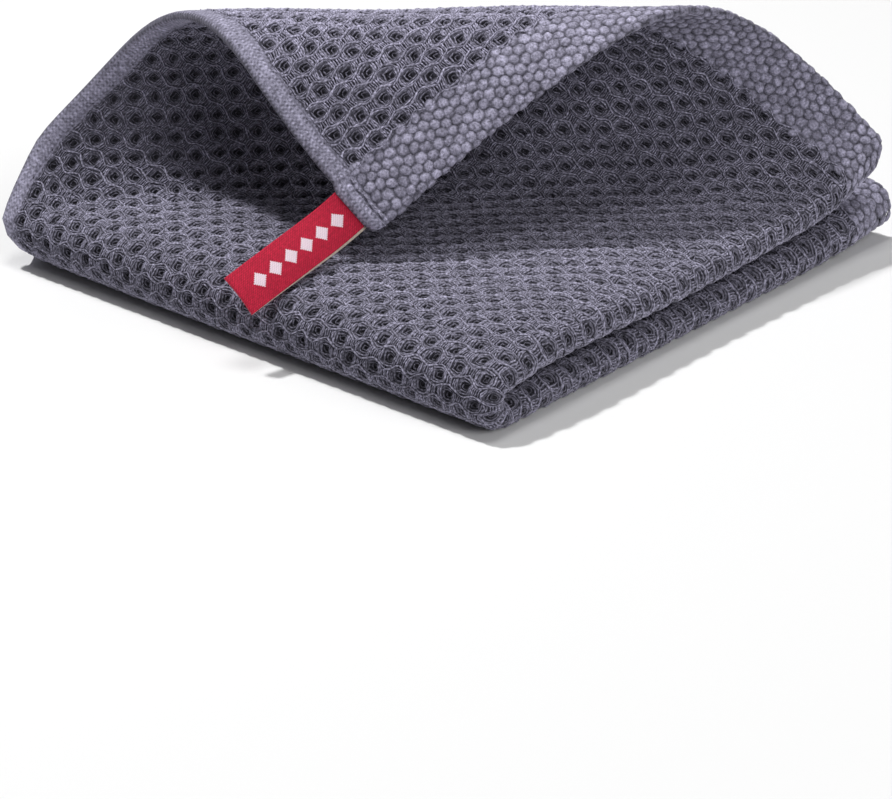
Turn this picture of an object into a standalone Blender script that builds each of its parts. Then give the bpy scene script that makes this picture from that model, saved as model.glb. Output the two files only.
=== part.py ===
"""A waffle-weave kitchen towel folded in four, its free top corner lifted and rolled forward.

The cloth is one square sheet. cloth_point() takes a place on the flat cloth and gives its place
on the folded one: the first fold lays the sheet in a pair, the second lays that pair on itself,
and the lift raises the loose corner of the top layer into an arch whose tip hangs in front.
Metres, Z up. X runs from the left corner to the right one, Y from the closed corner to the back.
"""
import math

import bpy
from mathutils import Vector

# The flat cloth, and where it is folded
CLOTH_SIDE = 0.305
CLOTH_THICK = 0.003
FIRST_FOLD = 0.1535
SECOND_FOLD = 0.1535

# The folded stack: layer to layer, and the turn of the stack's sides from the Y axis
LAYER_PITCH = 0.005
THREAD_TURN = math.radians(40.7)

# How far the stack is pressed down towards each fold, and how far in that reaches
SECOND_PRESS = 0.20
SECOND_PRESS_REACH = (-0.010, 0.016)
FIRST_PRESS = 0.08
FIRST_PRESS_REACH = (-0.005, 0.012)

# Uneven laying: waves of the upper layers and of the layers' edges
WAVE_HEIGHT = 0.0005
WAVE_LENGTH = 0.085
EDGE_WANDER = 0.0008
EDGE_WANDER_LENGTH = 0.12

# Where the second fold crosses the hem, the hem draws in and lies flatter. Where the first fold
# crosses the top pair's band, the band draws in and its fold opens.
HEM_DRAW = 0.0060
HEM_DRAW_REACH = (-0.009, 0.010)
HEM_FLATTEN = 0.10
BAND_DRAW = 0.0045
BAND_DRAW_REACH = (0.0, 0.030)
BAND_OPEN = 0.6
TOWARDS_EDGE = 4

# The lifted corner. The rise starts on a line across the top layer, which is nearer the closed
# corner on the right. The two slope columns hold at the left and right sections.
RISE_START = {-0.115: 0.0843, 0.090: 0.0755}
SECTION_AT = (-0.090, 0.060)
SECTION_REACH = (-0.3, 1.4)
LIFT = (
    # past the start, slope on the left, slope on the right (degrees)
    (0.000, 0, 0),
    (0.008, 34, 13),
    (0.016, 57, 31),
    (0.024, 71, 50),
    (0.032, 83, 70),
    (0.042, 107, 95),
    (0.052, 141, 116),
    (0.060, 163, 135),
    (0.068, 178, 166),
    (0.078, 198, 215),
    (0.092, 239, 246),
    (0.135, 246, 247),
)
LIFT_STEP = 0.0005

# The lifted corner draws in towards its middle, and its tip drifts to the left
PULL_IN = 0.022
PULL_IN_REACH = (0.0, 0.040)
DRIFT = -0.0056
DRIFT_REACH = (0.050, 0.115)

# The lift fades out round the first fold, over this part of its turn given as a sine. Beside both
# folds the layers underneath follow it, the lowest least and the highest most.
OUTER_TURN = (-0.8, 1.0)
FOLLOW = (0.20, 0.60)
FOLLOW_REACH = (0.0, 0.045)

# The sewn-in label, at the lifted corner's end of the hem
LABEL_LENGTH = 0.0345
LABEL_WIDTH = 0.0098
LABEL_THICK = 0.0010
LABEL_FROM_CORNER = 0.0079
LABEL_GAP = 0.0005
LABEL_LIE = Vector((-0.70, -0.74, -0.25))
LABEL_BEND = 0.35

# Mesh steps along each part of the cloth
FLAT_STEPS = 12
TOP_STEPS = 24
FIRST_ROLL_STEPS = 8
SECOND_ROLL_STEPS = 10
LABEL_STEPS = (12, 4)

# The middle of the folded towel, which becomes the origin
MIDDLE = (-0.0104, 0.0989)

FIRST_RADIUS = LAYER_PITCH / 2
SECOND_RADIUS = LAYER_PITCH * 1.5
FIRST_REACH = math.pi / 2 * FIRST_RADIUS
SECOND_REACH = math.pi / 2 * SECOND_RADIUS


def smooth(low, high, value):
    """0 below low, 1 above high, and an even ramp between."""
    part = min(max((value - low) / (high - low), 0.0), 1.0)
    return part * part * (3 - 2 * part)


def between(low, high, part):
    return low + (high - low) * part


def roll(place, line, radius):
    """Distance in from the fold and the turn round it, -90 to 90 degrees."""
    off = place - line
    reach = math.pi / 2 * radius
    if abs(off) < reach:
        return 0.0, off / radius
    return abs(off) - reach, math.copysign(math.pi / 2, off)


def lift_path(column):
    """Places along one section of the lifted corner: back from its start, and up."""
    back, up = [0.0], [0.0]
    past = 0.0
    for row, following in zip(LIFT, LIFT[1:]):
        while past < following[0] - LIFT_STEP / 2:
            part = (past + LIFT_STEP / 2 - row[0]) / (following[0] - row[0])
            slope = math.radians(between(row[column], following[column], part))
            back.append(back[-1] + LIFT_STEP * math.cos(slope))
            up.append(up[-1] + LIFT_STEP * math.sin(slope))
            past += LIFT_STEP
    return back, up


LEFT_PATH = lift_path(1)
RIGHT_PATH = lift_path(2)


def along_path(path, past):
    place = min(past / LIFT_STEP, len(path) - 1.001)
    index = int(place)
    return between(path[index], path[index + 1], place - index)


def lift(across, along):
    """How far the lifted corner moves a place of the flat top layer."""
    (left, left_start), (right, right_start) = RISE_START.items()
    start = between(left_start, right_start, (across - left) / (right - left))
    past = along - start
    if past <= 0:
        return Vector((0, 0, 0))
    share = (across - SECTION_AT[0]) / (SECTION_AT[1] - SECTION_AT[0])
    share = min(max(share, SECTION_REACH[0]), SECTION_REACH[1])
    back = between(along_path(LEFT_PATH[0], past), along_path(RIGHT_PATH[0], past), share)
    up = between(along_path(LEFT_PATH[1], past), along_path(RIGHT_PATH[1], past), share)
    aside = DRIFT * smooth(*DRIFT_REACH, past) - PULL_IN * across * smooth(*PULL_IN_REACH, past)
    return Vector((aside, back - past, up))


def cloth_point(x, y):
    """The middle of the folded cloth at x, y of the flat one."""
    in_first, first_turn = roll(y, FIRST_FOLD, FIRST_RADIUS)
    in_second, second_turn = roll(x, SECOND_FOLD, SECOND_RADIUS)
    upper = (1 + math.sin(second_turn)) / 2
    outer = 1 - smooth(*OUTER_TURN, math.sin(first_turn))
    to_hem = (in_first / FIRST_FOLD) ** TOWARDS_EDGE
    to_band = upper * (in_second / SECOND_FOLD) ** TOWARDS_EDGE
    height = FIRST_RADIUS * math.sin(first_turn)
    radius = LAYER_PITCH - height
    level = radius * math.sin(second_turn)
    v = in_first - FIRST_RADIUS * math.cos(first_turn) * (1 + BAND_OPEN * to_band)
    u = in_second - radius * math.cos(second_turn)
    v += EDGE_WANDER * math.sin(math.tau * x / EDGE_WANDER_LENGTH) * in_first / FIRST_FOLD
    u += EDGE_WANDER * math.cos(math.tau * y / EDGE_WANDER_LENGTH) * in_second / SECOND_FOLD
    hem_end = (1 - smooth(*HEM_DRAW_REACH, u)) * to_hem
    u -= BAND_DRAW * (1 - outer) * (1 - smooth(*BAND_DRAW_REACH, v)) * to_band
    v -= HEM_DRAW * hem_end
    press = 1 - SECOND_PRESS * (1 - smooth(*SECOND_PRESS_REACH, u))
    press *= 1 - FIRST_PRESS * (1 - smooth(*FIRST_PRESS_REACH, v))
    rise = (SECOND_RADIUS + level) * press
    rise += (2 * SECOND_RADIUS - rise) * HEM_FLATTEN * hem_end
    wave = math.sin(math.tau * u / WAVE_LENGTH) * math.cos(math.tau * v / WAVE_LENGTH)
    rise += WAVE_HEIGHT * wave * rise / (2 * SECOND_RADIUS)
    across = u * math.sin(THREAD_TURN) - v * math.cos(THREAD_TURN)
    along = u * math.cos(THREAD_TURN) + v * math.sin(THREAD_TURN)
    loose = outer * upper
    beside_fold = 1 - smooth(*FOLLOW_REACH, v) * smooth(*FOLLOW_REACH, u)
    follow = between(*FOLLOW, rise / (2 * SECOND_RADIUS)) * beside_fold
    flat = Vector((across - MIDDLE[0], along - MIDDLE[1], CLOTH_THICK / 2 + rise))
    return flat + lift(across, along) * between(follow, 1, loose)


def spread(start, end, steps):
    return [between(start, end, step / steps) for step in range(steps)]


def shaped_grid(name, columns, rows, place):
    """A grid sheet whose point in column i and row j goes to place(columns[i], rows[j])."""
    bpy.ops.mesh.primitive_grid_add(
        x_subdivisions=len(columns) - 1, y_subdivisions=len(rows) - 1, size=1)
    sheet = bpy.context.object
    sheet.name = name
    sheet.data.name = name
    for point in sheet.data.vertices:
        i = round((point.co.x + 0.5) * (len(columns) - 1))
        j = round((point.co.y + 0.5) * (len(rows) - 1))
        point.co = place(columns[i], rows[j])
    return sheet


def thicken(sheet, thickness):
    solid = sheet.modifiers.new("Thickness", "SOLIDIFY")
    solid.thickness = thickness
    solid.offset = 0
    solid.use_even_offset = True
    sheet.data.shade_smooth()


def finish(sheet, name, colour, roughness):
    material = bpy.data.materials.new(name)
    material.use_nodes = True
    shader = material.node_tree.nodes["Principled BSDF"]
    shader.inputs["Base Color"].default_value = (*colour, 1)
    shader.inputs["Roughness"].default_value = roughness
    shader.inputs["Metallic"].default_value = 0
    sheet.data.materials.append(material)


def make_towel():
    columns = spread(0, SECOND_FOLD - SECOND_REACH, FLAT_STEPS)
    columns += spread(SECOND_FOLD - SECOND_REACH, SECOND_FOLD + SECOND_REACH, SECOND_ROLL_STEPS)
    columns += spread(SECOND_FOLD + SECOND_REACH, CLOTH_SIDE, TOP_STEPS) + [CLOTH_SIDE]
    rows = spread(0, FIRST_FOLD - FIRST_REACH, TOP_STEPS)
    rows += spread(FIRST_FOLD - FIRST_REACH, FIRST_FOLD + FIRST_REACH, FIRST_ROLL_STEPS)
    rows += spread(FIRST_FOLD + FIRST_REACH, CLOTH_SIDE, FLAT_STEPS) + [CLOTH_SIDE]
    towel = shaped_grid("towel", columns, rows, cloth_point)
    thicken(towel, CLOTH_THICK)
    finish(towel, "slate cotton", (0.19, 0.18, 0.245), 0.95)
    return towel


def label_frame():
    """The label's root on the hem's edge, and its directions along the edge and out of it."""
    along = CLOTH_SIDE - LABEL_FROM_CORNER
    step = LABEL_WIDTH / 2
    edge = (cloth_point(along + step, 0) - cloth_point(along - step, 0)).normalized()
    out = cloth_point(along, 0) - cloth_point(along, step)
    out = (out - out.project(edge)).normalized()
    return cloth_point(along, 0) + out * LABEL_GAP, edge, out


def make_label():
    root, edge, out = label_frame()
    lie = LABEL_LIE.normalized()
    count_along, count_wide = LABEL_STEPS
    stations = []
    place = root.copy()
    step = LABEL_LENGTH / count_along
    for index in range(count_along + 1):
        heading = out.lerp(lie, smooth(0, LABEL_BEND, index / count_along)).normalized()
        wide = (edge - edge.project(heading)).normalized()
        stations.append((place.copy(), wide))
        place += heading * step

    def label_point(index, part):
        centre, wide = stations[index]
        return centre + wide * LABEL_WIDTH * (part / count_wide - 0.5)

    columns = list(range(count_along + 1))
    label = shaped_grid("label", columns, list(range(count_wide + 1)), label_point)
    thicken(label, LABEL_THICK)
    finish(label, "red ribbon", (0.55, 0.013, 0.04), 0.6)
    return label


def main():
    for thing in list(bpy.data.objects):
        bpy.data.objects.remove(thing)
    group = bpy.data.collections.new("folded towel")
    bpy.context.scene.collection.children.link(group)
    for piece in (make_towel(), make_label()):
        for holder in list(piece.users_collection):
            holder.objects.unlink(piece)
        group.objects.link(piece)


main()
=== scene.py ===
"""The looks of a waffle-weave kitchen towel folded in four, its top corner rolled forward.

Every piece of the cloth is laid out on the flat towel first, in metres: X across the warp, Y along
it, and Z the height over the middle of the cloth, above 0 on the outer face and below 0 on the
inner one. fold() then carries the piece to its place on the folded towel.
"""
import math

import bpy
import numpy as np
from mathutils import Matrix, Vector


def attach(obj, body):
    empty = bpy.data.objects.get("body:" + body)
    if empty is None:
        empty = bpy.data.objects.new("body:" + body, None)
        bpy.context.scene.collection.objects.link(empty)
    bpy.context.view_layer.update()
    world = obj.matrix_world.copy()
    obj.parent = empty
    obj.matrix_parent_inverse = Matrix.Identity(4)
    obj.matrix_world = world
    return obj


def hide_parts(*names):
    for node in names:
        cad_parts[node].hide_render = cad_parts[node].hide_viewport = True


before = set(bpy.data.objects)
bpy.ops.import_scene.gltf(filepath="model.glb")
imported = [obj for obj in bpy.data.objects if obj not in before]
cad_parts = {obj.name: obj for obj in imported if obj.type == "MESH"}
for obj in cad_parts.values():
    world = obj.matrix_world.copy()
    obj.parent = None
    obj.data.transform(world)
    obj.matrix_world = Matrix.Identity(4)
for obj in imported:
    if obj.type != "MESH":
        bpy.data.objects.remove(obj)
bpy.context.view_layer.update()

# The flat cloth, and where it is folded
CLOTH_SIDE = 0.305
FIRST_FOLD = 0.1535
SECOND_FOLD = 0.1535
CLOTH_THICK = 0.003

# The folded stack: layer to layer, and the turn of the stack's sides from the Y axis
LAYER_PITCH = 0.005
THREAD_TURN = math.radians(40.7)

# How far the stack is pressed down towards each fold, and how far in that reaches
SECOND_PRESS = 0.20
SECOND_PRESS_REACH = (-0.010, 0.016)
FIRST_PRESS = 0.08
FIRST_PRESS_REACH = (-0.005, 0.012)

# Uneven laying: waves of the upper layers and of the layers' edges
WAVE_HEIGHT = 0.0005
WAVE_LENGTH = 0.085
EDGE_WANDER = 0.0008
EDGE_WANDER_LENGTH = 0.12

# Where the folds cross the hem and the band, these draw in, lie flatter or open
HEM_DRAW = 0.0050
HEM_DRAW_REACH = (-0.009, 0.010)
HEM_FLATTEN = 0.10
LOW_HEM_DRAW = 0.0060
LOW_HEM_LEVEL = (0.05, 0.70)
BAND_DRAW = 0.0095
BAND_DRAW_REACH = (0.0, 0.030)
BAND_DRAW_TURN = (-0.9, 0.7)
BAND_OPEN = 0.5
BAND_PINCH = 0.0060
LOWER_BAND_OPEN = 0.5
LOWER_BAND_RISE = 0.0028
TOWARDS_EDGE = 4

# How far in the cloth shows between the upper and the lower fold, from how far back its inner
# face shows, and where the yarns of the lower fold start
BETWEEN_FOLDS = 0.012
INNER_FROM = 0.070
LOWER_YARNS_FROM = 0.1395

# The lifted corner: the line where it starts to rise, and its slopes at two sections. These and
# the pull and drift are rounded from a fit to the photo's edges, then changed a little.
RISE_START = {-0.115: 0.0843, 0.090: 0.0755}
SECTION_AT = (-0.090, 0.060)
SECTION_REACH = (-0.3, 1.4)
LIFT = (
    # past the start, slope on the left, slope on the right (degrees)
    (0.000, 0, 0),
    (0.008, 34, 13),
    (0.016, 57, 31),
    (0.024, 71, 50),
    (0.032, 83, 70),
    (0.042, 107, 95),
    (0.052, 141, 116),
    (0.060, 163, 135),
    (0.068, 178, 166),
    (0.078, 198, 215),
    (0.092, 239, 246),
    (0.135, 246, 247),
)
LIFT_STEP = 0.0005
PULL_IN = 0.022
PULL_IN_REACH = (0.0, 0.040)
DRIFT = -0.0056
DRIFT_REACH = (0.050, 0.115)
OUTER_TURN = (-0.8, 1.0)
FOLLOW = (0.20, 0.60)
FOLLOW_REACH = (0.0, 0.045)

# The middle of the folded towel, which is the origin
MIDDLE = (-0.0104, 0.0989)

# The weave: bands along the sides, hems along the ends, and a grid of cells between them
BAND_WIDTH = 0.0145
HEM_WIDTH = 0.0052
BAND_HEM = 0.0043
CELLS_ACROSS = 82
CELLS_ALONG = 85
CELL_X = (CLOTH_SIDE - 2 * BAND_WIDTH) / CELLS_ACROSS
CELL_Y = (CLOTH_SIDE - 2 * HEM_WIDTH) / CELLS_ALONG
TINY = 1e-5
CORNER_ROUND = 0.0032
BAND_END_PROUD = 0.0010
BAND_END_REACH = 0.0060
BAND_END_RAMP = 0.0012
BAND_LINES = (0.0, 0.0003, 0.0009, 0.0030, 0.0055, 0.0080, 0.0105, 0.0124)

# How far the yarns stray across and along the cloth, in which waves, and from how far in
STRAYS = (
    # reach (metres), then one wave or two: radians a metre of x and of y, and the start
    ((0.00020, (410, 230, 0)), (0.00014, (-170, 1130, 2)),
     (0.00012, (900, 2900, 0), (2300, -500, 1))),
    ((0.00020, (-260, 370, 1)), (0.00014, (1270, 210, 0)),
     (0.00012, (2700, 700, 0), (-300, 2500, 2))),
)
STRAY_RAMP = 0.004

# Heights over the middle of the cloth
GROUND_RIDGE = 0.00080
GROUND_MAT = 0.00055
GROUND_PIT = 0.00005
PLAIN_HEIGHT = 0.00100
BAND_GROUND = 0.00080
UNDERSIDE_HEIGHT = 0.00135
PIT_RIM = (0.27, 0.50)
EDGE_PROFILE = ((0, 0.45), (0.0003, 0.80), (0.0009, 1.0))
EDGE_END = 0.0010
HEM_PROFILE = (
    # in from the edge, height (metres)
    (0.0000, 0.00050), (0.0003, 0.00085), (0.0009, 0.00112), (0.0020, 0.00125),
    (0.0031, 0.00127), (0.0040, 0.00118), (0.0044, 0.00098), (0.0048, 0.00112),
    (0.0052, 0.00080),
)
BAND_HEM_PROFILE = (
    (0.0000, 0.00070), (0.0003, 0.00120), (0.0009, 0.00170), (0.0020, 0.00195),
    (0.0028, 0.00175), (0.0033, 0.00110), (0.0038, 0.00150), (0.0042, 0.00100),
    (0.0046, 0.00070),
)

# Yarns: their width, how far their sides drop, the length of one twist, and each kind's own
STEPS_A_CELL = 4
GROUND_STEPS = 3
YARN_WIDTH = 0.00058
YARN_DROP = 0.00042
TWIST_PITCH = 0.0010
TWIST_LEAN = 2.2
DIVIDER_HEIGHT = 0.00140
DIVIDER_BOW = 0.00072
DIVIDER_SWELL = 0.00012
RUNG_HEIGHT = 0.00134
RUNG_DIP = 0.00040
RUNG_BOW = 0.00044
MAT_HEIGHT = 0.00128
MAT_DIP = 0.00040
MAT_STRANDS = 4
MAT_APART = 0.00056
MAT_WIDTH = 0.00042
MAT_LENGTH = 0.92
PIT_STEPS = (
    # half across, half along, height, width of the yarn, how far it leans (metres)
    (0.00180, 0.00172, 0.00124, 0.00046, 0.00000),
    (0.00122, 0.00118, 0.00102, 0.00044, 0.00040),
    (0.00068, 0.00066, 0.00072, 0.00040, 0.00084),
)
PIT_LEAN = ((0.12, 0.36), (0.60, 0.77))
FLOAT_STATIONS = 4
FLOAT_REACH = 0.95
FLOAT_BOW = (0.25, 0.05)
FLOAT_DIP = 0.00022
FLOAT_TILT = 0.15
LONG_SWAY = (0.00006, 0.00006, 0.00005)
SHORT_SWAY = (0.00012, 0.00012, 0.00010)
FLOAT_TURN = 0.16
FLOAT_GROW = 0.12

# Towards the right corner the pits are drawn nearly shut: how much, how aslant, and from where
SHUT = 0.82
SHUT_LEAN = 0.40
SHUT_FROM_FOLD = (0.022, 0.075)
SHUT_FROM_HEM = (0.055, 0.090)

# Stitches at the lifted corner, and the binding of the band's end
STITCH_ROWS = (0.0037, 0.0030)
STITCH_LENGTH = 0.0023
STITCH_APART = 0.0025
STITCH_HEIGHT = 0.00190
STITCH_WIDTH = 0.00052
STITCH_SHIFT = 0.0012
STITCH_DIP = 0.0005
STITCH_DROP = 0.00045
BINDING_REACH = (0.0004, 0.0082)
BINDING_HEIGHT = 0.00175
BINDING_DIP = 0.0009
BINDING_WIDTH = 0.0019
BINDING_DROP = 0.0010

# Needle holes along the hem, painted as dots of shade: how far apart, how far in, and their size
HOLES_APART = 0.0068
HOLES_IN = 0.0044
HOLE_SIZE = 0.00032

# Popcorn bumps of the bands
BUMP_ACROSS = 0.00264
BUMP_ALONG = 0.00225
BUMP_HEIGHT = 0.00052
BUMP_FLATNESS = 0.36
BUMP_HALF = (0.56, 0.67)
BUMP_FROM_EDGE = 0.33
BUMP_RIM = 0.98
BUMP_SINK = 0.0001
BUMP_TURN = 0.4
BUMP_GROW = 0.06
FOLD_SQUEEZE = 1.5
BUMP_STEPS = 4
SELVAGE_RADIUS = 0.00060
SELVAGE_TURN = math.radians(140)

# The label, and the ribbon that it is folded from
LABEL_LENGTH = 0.0356
LABEL_WIDTH = 0.0100
LABEL_FROM_CORNER = 0.0079
LABEL_LIE = (-0.70, -0.74, -0.25)
LABEL_BEND = 0.35
LABEL_TUCK = 0.0015
LABEL_STEPS = 24
LABEL_CROWN = 0.0005
CROWN_FULL = 0.25
LABEL_SLIP = 0.0006
LABEL_SETTLE = 0.0010
SETTLE_POWER = 1.5
RIBBON_THICK = 0.00032
RIBBON_BEND = 0.00030
RIBBON_BEND_STEPS = 6
RIBBON_LINES = (-0.5, -0.485, -0.3, -0.1, 0.1, 0.3, 0.485, 0.5)
DIAMONDS = 6
DIAMONDS_FROM = 0.0063
DIAMOND_APART = 0.0049
DIAMOND_HALF = 0.0020
DIAMOND_STITCH = 0.00035

# Cotton: the colours, then the light left in the hollows and on the sides of yarns, and how
# mottled each is
SLATE = (0.302, 0.290, 0.384)
# Painted light: a lighter copy of the slate above, for the lifted corner's waffle
PAINTED_LIGHT_SLATE = (0.395, 0.378, 0.500)
HEM_SLATE = (0.286, 0.274, 0.364)
# Painted light: a lighter copy of the slate above, for the lifted corner's band and stitches
PAINTED_LIGHT_POPCORN_SLATE = (0.340, 0.325, 0.430)
COTTON_SHEEN = (0.75, 0.73, 0.85)
COTTONS = {
    "slate waffle cotton": (SLATE, 0.12, 0.14, 1.0),
    # the lifted corner's waffle: a lighter copy, with painted light
    "slate waffle cotton with painted light": (PAINTED_LIGHT_SLATE, 0.12, 0.42, 0.85),
    "slate ground cotton": (HEM_SLATE, 0.10, 1.0, 0.80),
    "slate popcorn cotton": (HEM_SLATE, 0.50, 0.30, 0.90),
    # the lifted corner's band and stitches: a lighter copy, with painted light
    "slate popcorn cotton with painted light": (PAINTED_LIGHT_POPCORN_SLATE, 0.50, 0.30, 0.90),
}
FIBRE_SCALE = 1800
PATCH_SCALE = 700
NOISE_RANGE = (0.3, 0.7)
PATCH_SHADES = (0.72, 1.28)
HOLLOW_DEPTH = (0.0001, 0.0013)
HOLLOW_POWER = 1.1
FIBRE_SWING = 3.2
TWIST_SWING = 0.26
TWIST_RELIEF = 0.25
TONE_SWING = 0.20
DARKEST = 0.02
COTTON_RELIEF = (0.5, 0.00015)

# The plain weave of the hem
HEM_RIBS = (0.0011, 0.0012)
RIB_MIX = (0.6, 0.4)
RIB_SWING = 0.42
RIB_RELIEF = 0.6
# Painted shade of the needle holes: the share of a hole that is darkest, and how dark
HOLE_CORE = 0.4
HOLE_SHADE = 0.25

# The ribbon
RED = (0.49, 0.012, 0.043)
RED_SHADES = (0.72, 1.26)
WHITE = (0.94, 0.76, 0.85)
WHITE_SHADES = (0.80, 1.04)
CREAM = (0.62, 0.52, 0.44)
RIBBON_SHEEN = (1.0, 0.7, 0.7)
RIBBON_SHADES = (0.80, 1.20)
TWILL_PITCH = 0.0007
WARP_PITCH = 0.00045
TWILL_MIX = (0.6, 0.4)
RIBBON_RELIEF = (0.4, 0.0001)

# The camera, which is fitted to the photo as the turn of the stack is
CAMERA_PLACE = (-0.000945, -0.71686, 0.29896)
CAMERA_DOWN = math.radians(25.34)
CAMERA_LENS = 131.16

# Studio lights: name, way to it, distance, size and power. The key's way and the powers are
# rounded from fits to the photo's light and shade, then changed a little.
FLOOR_SIDE = 8
FLOOR_GREY = (0.84, 0.84, 0.84)
WORLD_LIGHT = 0.10
LAMPS = (
    ("key", (-0.407, 0.235, 0.883), 1.6, 0.12, 20.0),
    ("overhead", (0.0, 0.0, 1.0), 1.6, 0.50, 6.1),
    ("front fill", (0.383, -0.663, 0.643), 1.6, 0.70, 5.5),
    ("side fill", (0.837, -0.483, 0.259), 1.6, 0.60, 6.2),
)

FIRST_RADIUS = LAYER_PITCH / 2
SECOND_RADIUS = LAYER_PITCH * 1.5
FIRST_REACH = math.pi / 2 * FIRST_RADIUS
SECOND_REACH = math.pi / 2 * SECOND_RADIUS
FACE = 1
BACK = -1
chance = np.random.default_rng(11)


def smooth(low, high, value):
    """0 below low, 1 above high, and an even ramp between."""
    part = np.clip((value - low) / (high - low), 0, 1)
    return part * part * (3 - 2 * part)


def between(low, high, part):
    return low + (high - low) * part


def roll(place, line, radius):
    """Distance in from the fold and the turn round it, -90 to 90 degrees."""
    off = place - line
    reach = math.pi / 2 * radius
    turn = np.clip(off / radius, -math.pi / 2, math.pi / 2)
    return np.maximum(np.abs(off) - reach, 0), turn


def lift_path(column):
    """Places along one section of the lifted corner: back from its start, and up."""
    steps = np.arange(0, LIFT[-1][0] - LIFT_STEP / 2, LIFT_STEP) + LIFT_STEP / 2
    pasts = [row[0] for row in LIFT]
    slopes = np.radians(np.interp(steps, pasts, [row[column] for row in LIFT]))
    back = np.concatenate([[0], np.cumsum(np.cos(slopes))]) * LIFT_STEP
    up = np.concatenate([[0], np.cumsum(np.sin(slopes))]) * LIFT_STEP
    return back, up


LEFT_PATH = lift_path(1)
RIGHT_PATH = lift_path(2)


def along_path(path, past):
    return np.interp(past, np.arange(len(path)) * LIFT_STEP, path)


def lift(across, along):
    """How far the lifted corner moves places of the flat top layer."""
    (left, left_start), (right, right_start) = RISE_START.items()
    start = between(left_start, right_start, (across - left) / (right - left))
    past = np.maximum(along - start, 0)
    share = (across - SECTION_AT[0]) / (SECTION_AT[1] - SECTION_AT[0])
    share = np.clip(share, *SECTION_REACH)
    back = between(along_path(LEFT_PATH[0], past), along_path(RIGHT_PATH[0], past), share)
    up = between(along_path(LEFT_PATH[1], past), along_path(RIGHT_PATH[1], past), share)
    aside = DRIFT * smooth(*DRIFT_REACH, past) - PULL_IN * across * smooth(*PULL_IN_REACH, past)
    return np.stack([aside, back - past, up], axis=-1)


def cloth_points(x, y):
    """The middle of the folded cloth at places x, y of the flat one."""
    in_first, first_turn = roll(y, FIRST_FOLD, FIRST_RADIUS)
    in_second, second_turn = roll(x, SECOND_FOLD, SECOND_RADIUS)
    upper = (1 + np.sin(second_turn)) / 2
    outer = 1 - smooth(*OUTER_TURN, np.sin(first_turn))
    to_hem = (in_first / FIRST_FOLD) ** TOWARDS_EDGE
    to_band = upper * (in_second / SECOND_FOLD) ** TOWARDS_EDGE
    radius = LAYER_PITCH - FIRST_RADIUS * np.sin(first_turn)
    level = radius * np.sin(second_turn)
    to_lower_band = (1 - upper) * (in_second / SECOND_FOLD) ** TOWARDS_EDGE
    opened = 1 + BAND_OPEN * to_band + LOWER_BAND_OPEN * to_lower_band
    v = in_first - FIRST_RADIUS * np.cos(first_turn) * opened
    u = in_second - radius * np.cos(second_turn)
    v = v + EDGE_WANDER * np.sin(math.tau * x / EDGE_WANDER_LENGTH) * in_first / FIRST_FOLD
    u = u + EDGE_WANDER * np.cos(math.tau * y / EDGE_WANDER_LENGTH) * in_second / SECOND_FOLD
    hem_end = (1 - smooth(*HEM_DRAW_REACH, u)) * to_hem
    band_end = (1 - smooth(*BAND_DRAW_REACH, v)) * to_band
    u = u - BAND_DRAW * smooth(*BAND_DRAW_TURN, np.sin(first_turn)) * band_end
    v = v - (HEM_DRAW + LOW_HEM_DRAW * (1 - smooth(*LOW_HEM_LEVEL, upper))) * hem_end
    press = 1 - SECOND_PRESS * (1 - smooth(*SECOND_PRESS_REACH, u))
    press = press * (1 - FIRST_PRESS * (1 - smooth(*FIRST_PRESS_REACH, v)))
    rise = (SECOND_RADIUS + level) * press
    rise = rise + (2 * SECOND_RADIUS - rise) * HEM_FLATTEN * hem_end
    lower_end = (1 - smooth(*BAND_DRAW_REACH, v)) * to_lower_band
    rise = rise + (BAND_PINCH * band_end + LOWER_BAND_RISE * lower_end) * (1 - outer)
    wave = np.sin(math.tau * u / WAVE_LENGTH) * np.cos(math.tau * v / WAVE_LENGTH)
    rise = rise + WAVE_HEIGHT * wave * rise / (2 * SECOND_RADIUS)
    across = u * math.sin(THREAD_TURN) - v * math.cos(THREAD_TURN)
    along = u * math.cos(THREAD_TURN) + v * math.sin(THREAD_TURN)
    loose = outer * upper
    beside_fold = 1 - smooth(*FOLLOW_REACH, v) * smooth(*FOLLOW_REACH, u)
    follow = between(*FOLLOW, rise / (2 * SECOND_RADIUS)) * beside_fold
    flat = np.stack([across - MIDDLE[0], along - MIDDLE[1], CLOTH_THICK / 2 + rise], axis=-1)
    return flat + lift(across, along) * between(follow, 1, loose)[:, None]


def outwards(x, y):
    """The unit normal of the folded cloth's outer face."""
    step = LIFT_STEP
    by_x = cloth_points(x + step, y) - cloth_points(x - step, y)
    by_y = cloth_points(x, y + step) - cloth_points(x, y - step)
    normal = np.cross(by_y, by_x)
    return normal / np.linalg.norm(normal, axis=1)[:, None]


def uneven(x, y):
    """How far the yarns of an uneven weave stray from their even places."""
    strays = []
    for rows in STRAYS:
        stray = 0
        for reach, *waves in rows:
            for in_x, in_y, begin in waves:
                reach = reach * np.sin(in_x * x + in_y * y + begin)
            stray = stray + reach
        strays.append(stray)
    return strays


def rounded_corners(x, y):
    """Rounds the four corners of the flat cloth."""
    from_x = np.where(x < CLOTH_SIDE / 2, x, CLOTH_SIDE - x)
    from_y = np.where(y < CLOTH_SIDE / 2, y, CLOTH_SIDE - y)
    over_x = np.maximum(CORNER_ROUND - from_x, 0) / CORNER_ROUND
    over_y = np.maximum(CORNER_ROUND - from_y, 0) / CORNER_ROUND
    in_x = over_x * (1 - np.sqrt(1 - over_y ** 2 / 2)) * CORNER_ROUND
    in_y = over_y * (1 - np.sqrt(1 - over_x ** 2 / 2)) * CORNER_ROUND
    x = np.where(x < CLOTH_SIDE / 2, x + in_x, x - in_x)
    y = np.where(y < CLOTH_SIDE / 2, y + in_y, y - in_y)
    return x, y


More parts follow.
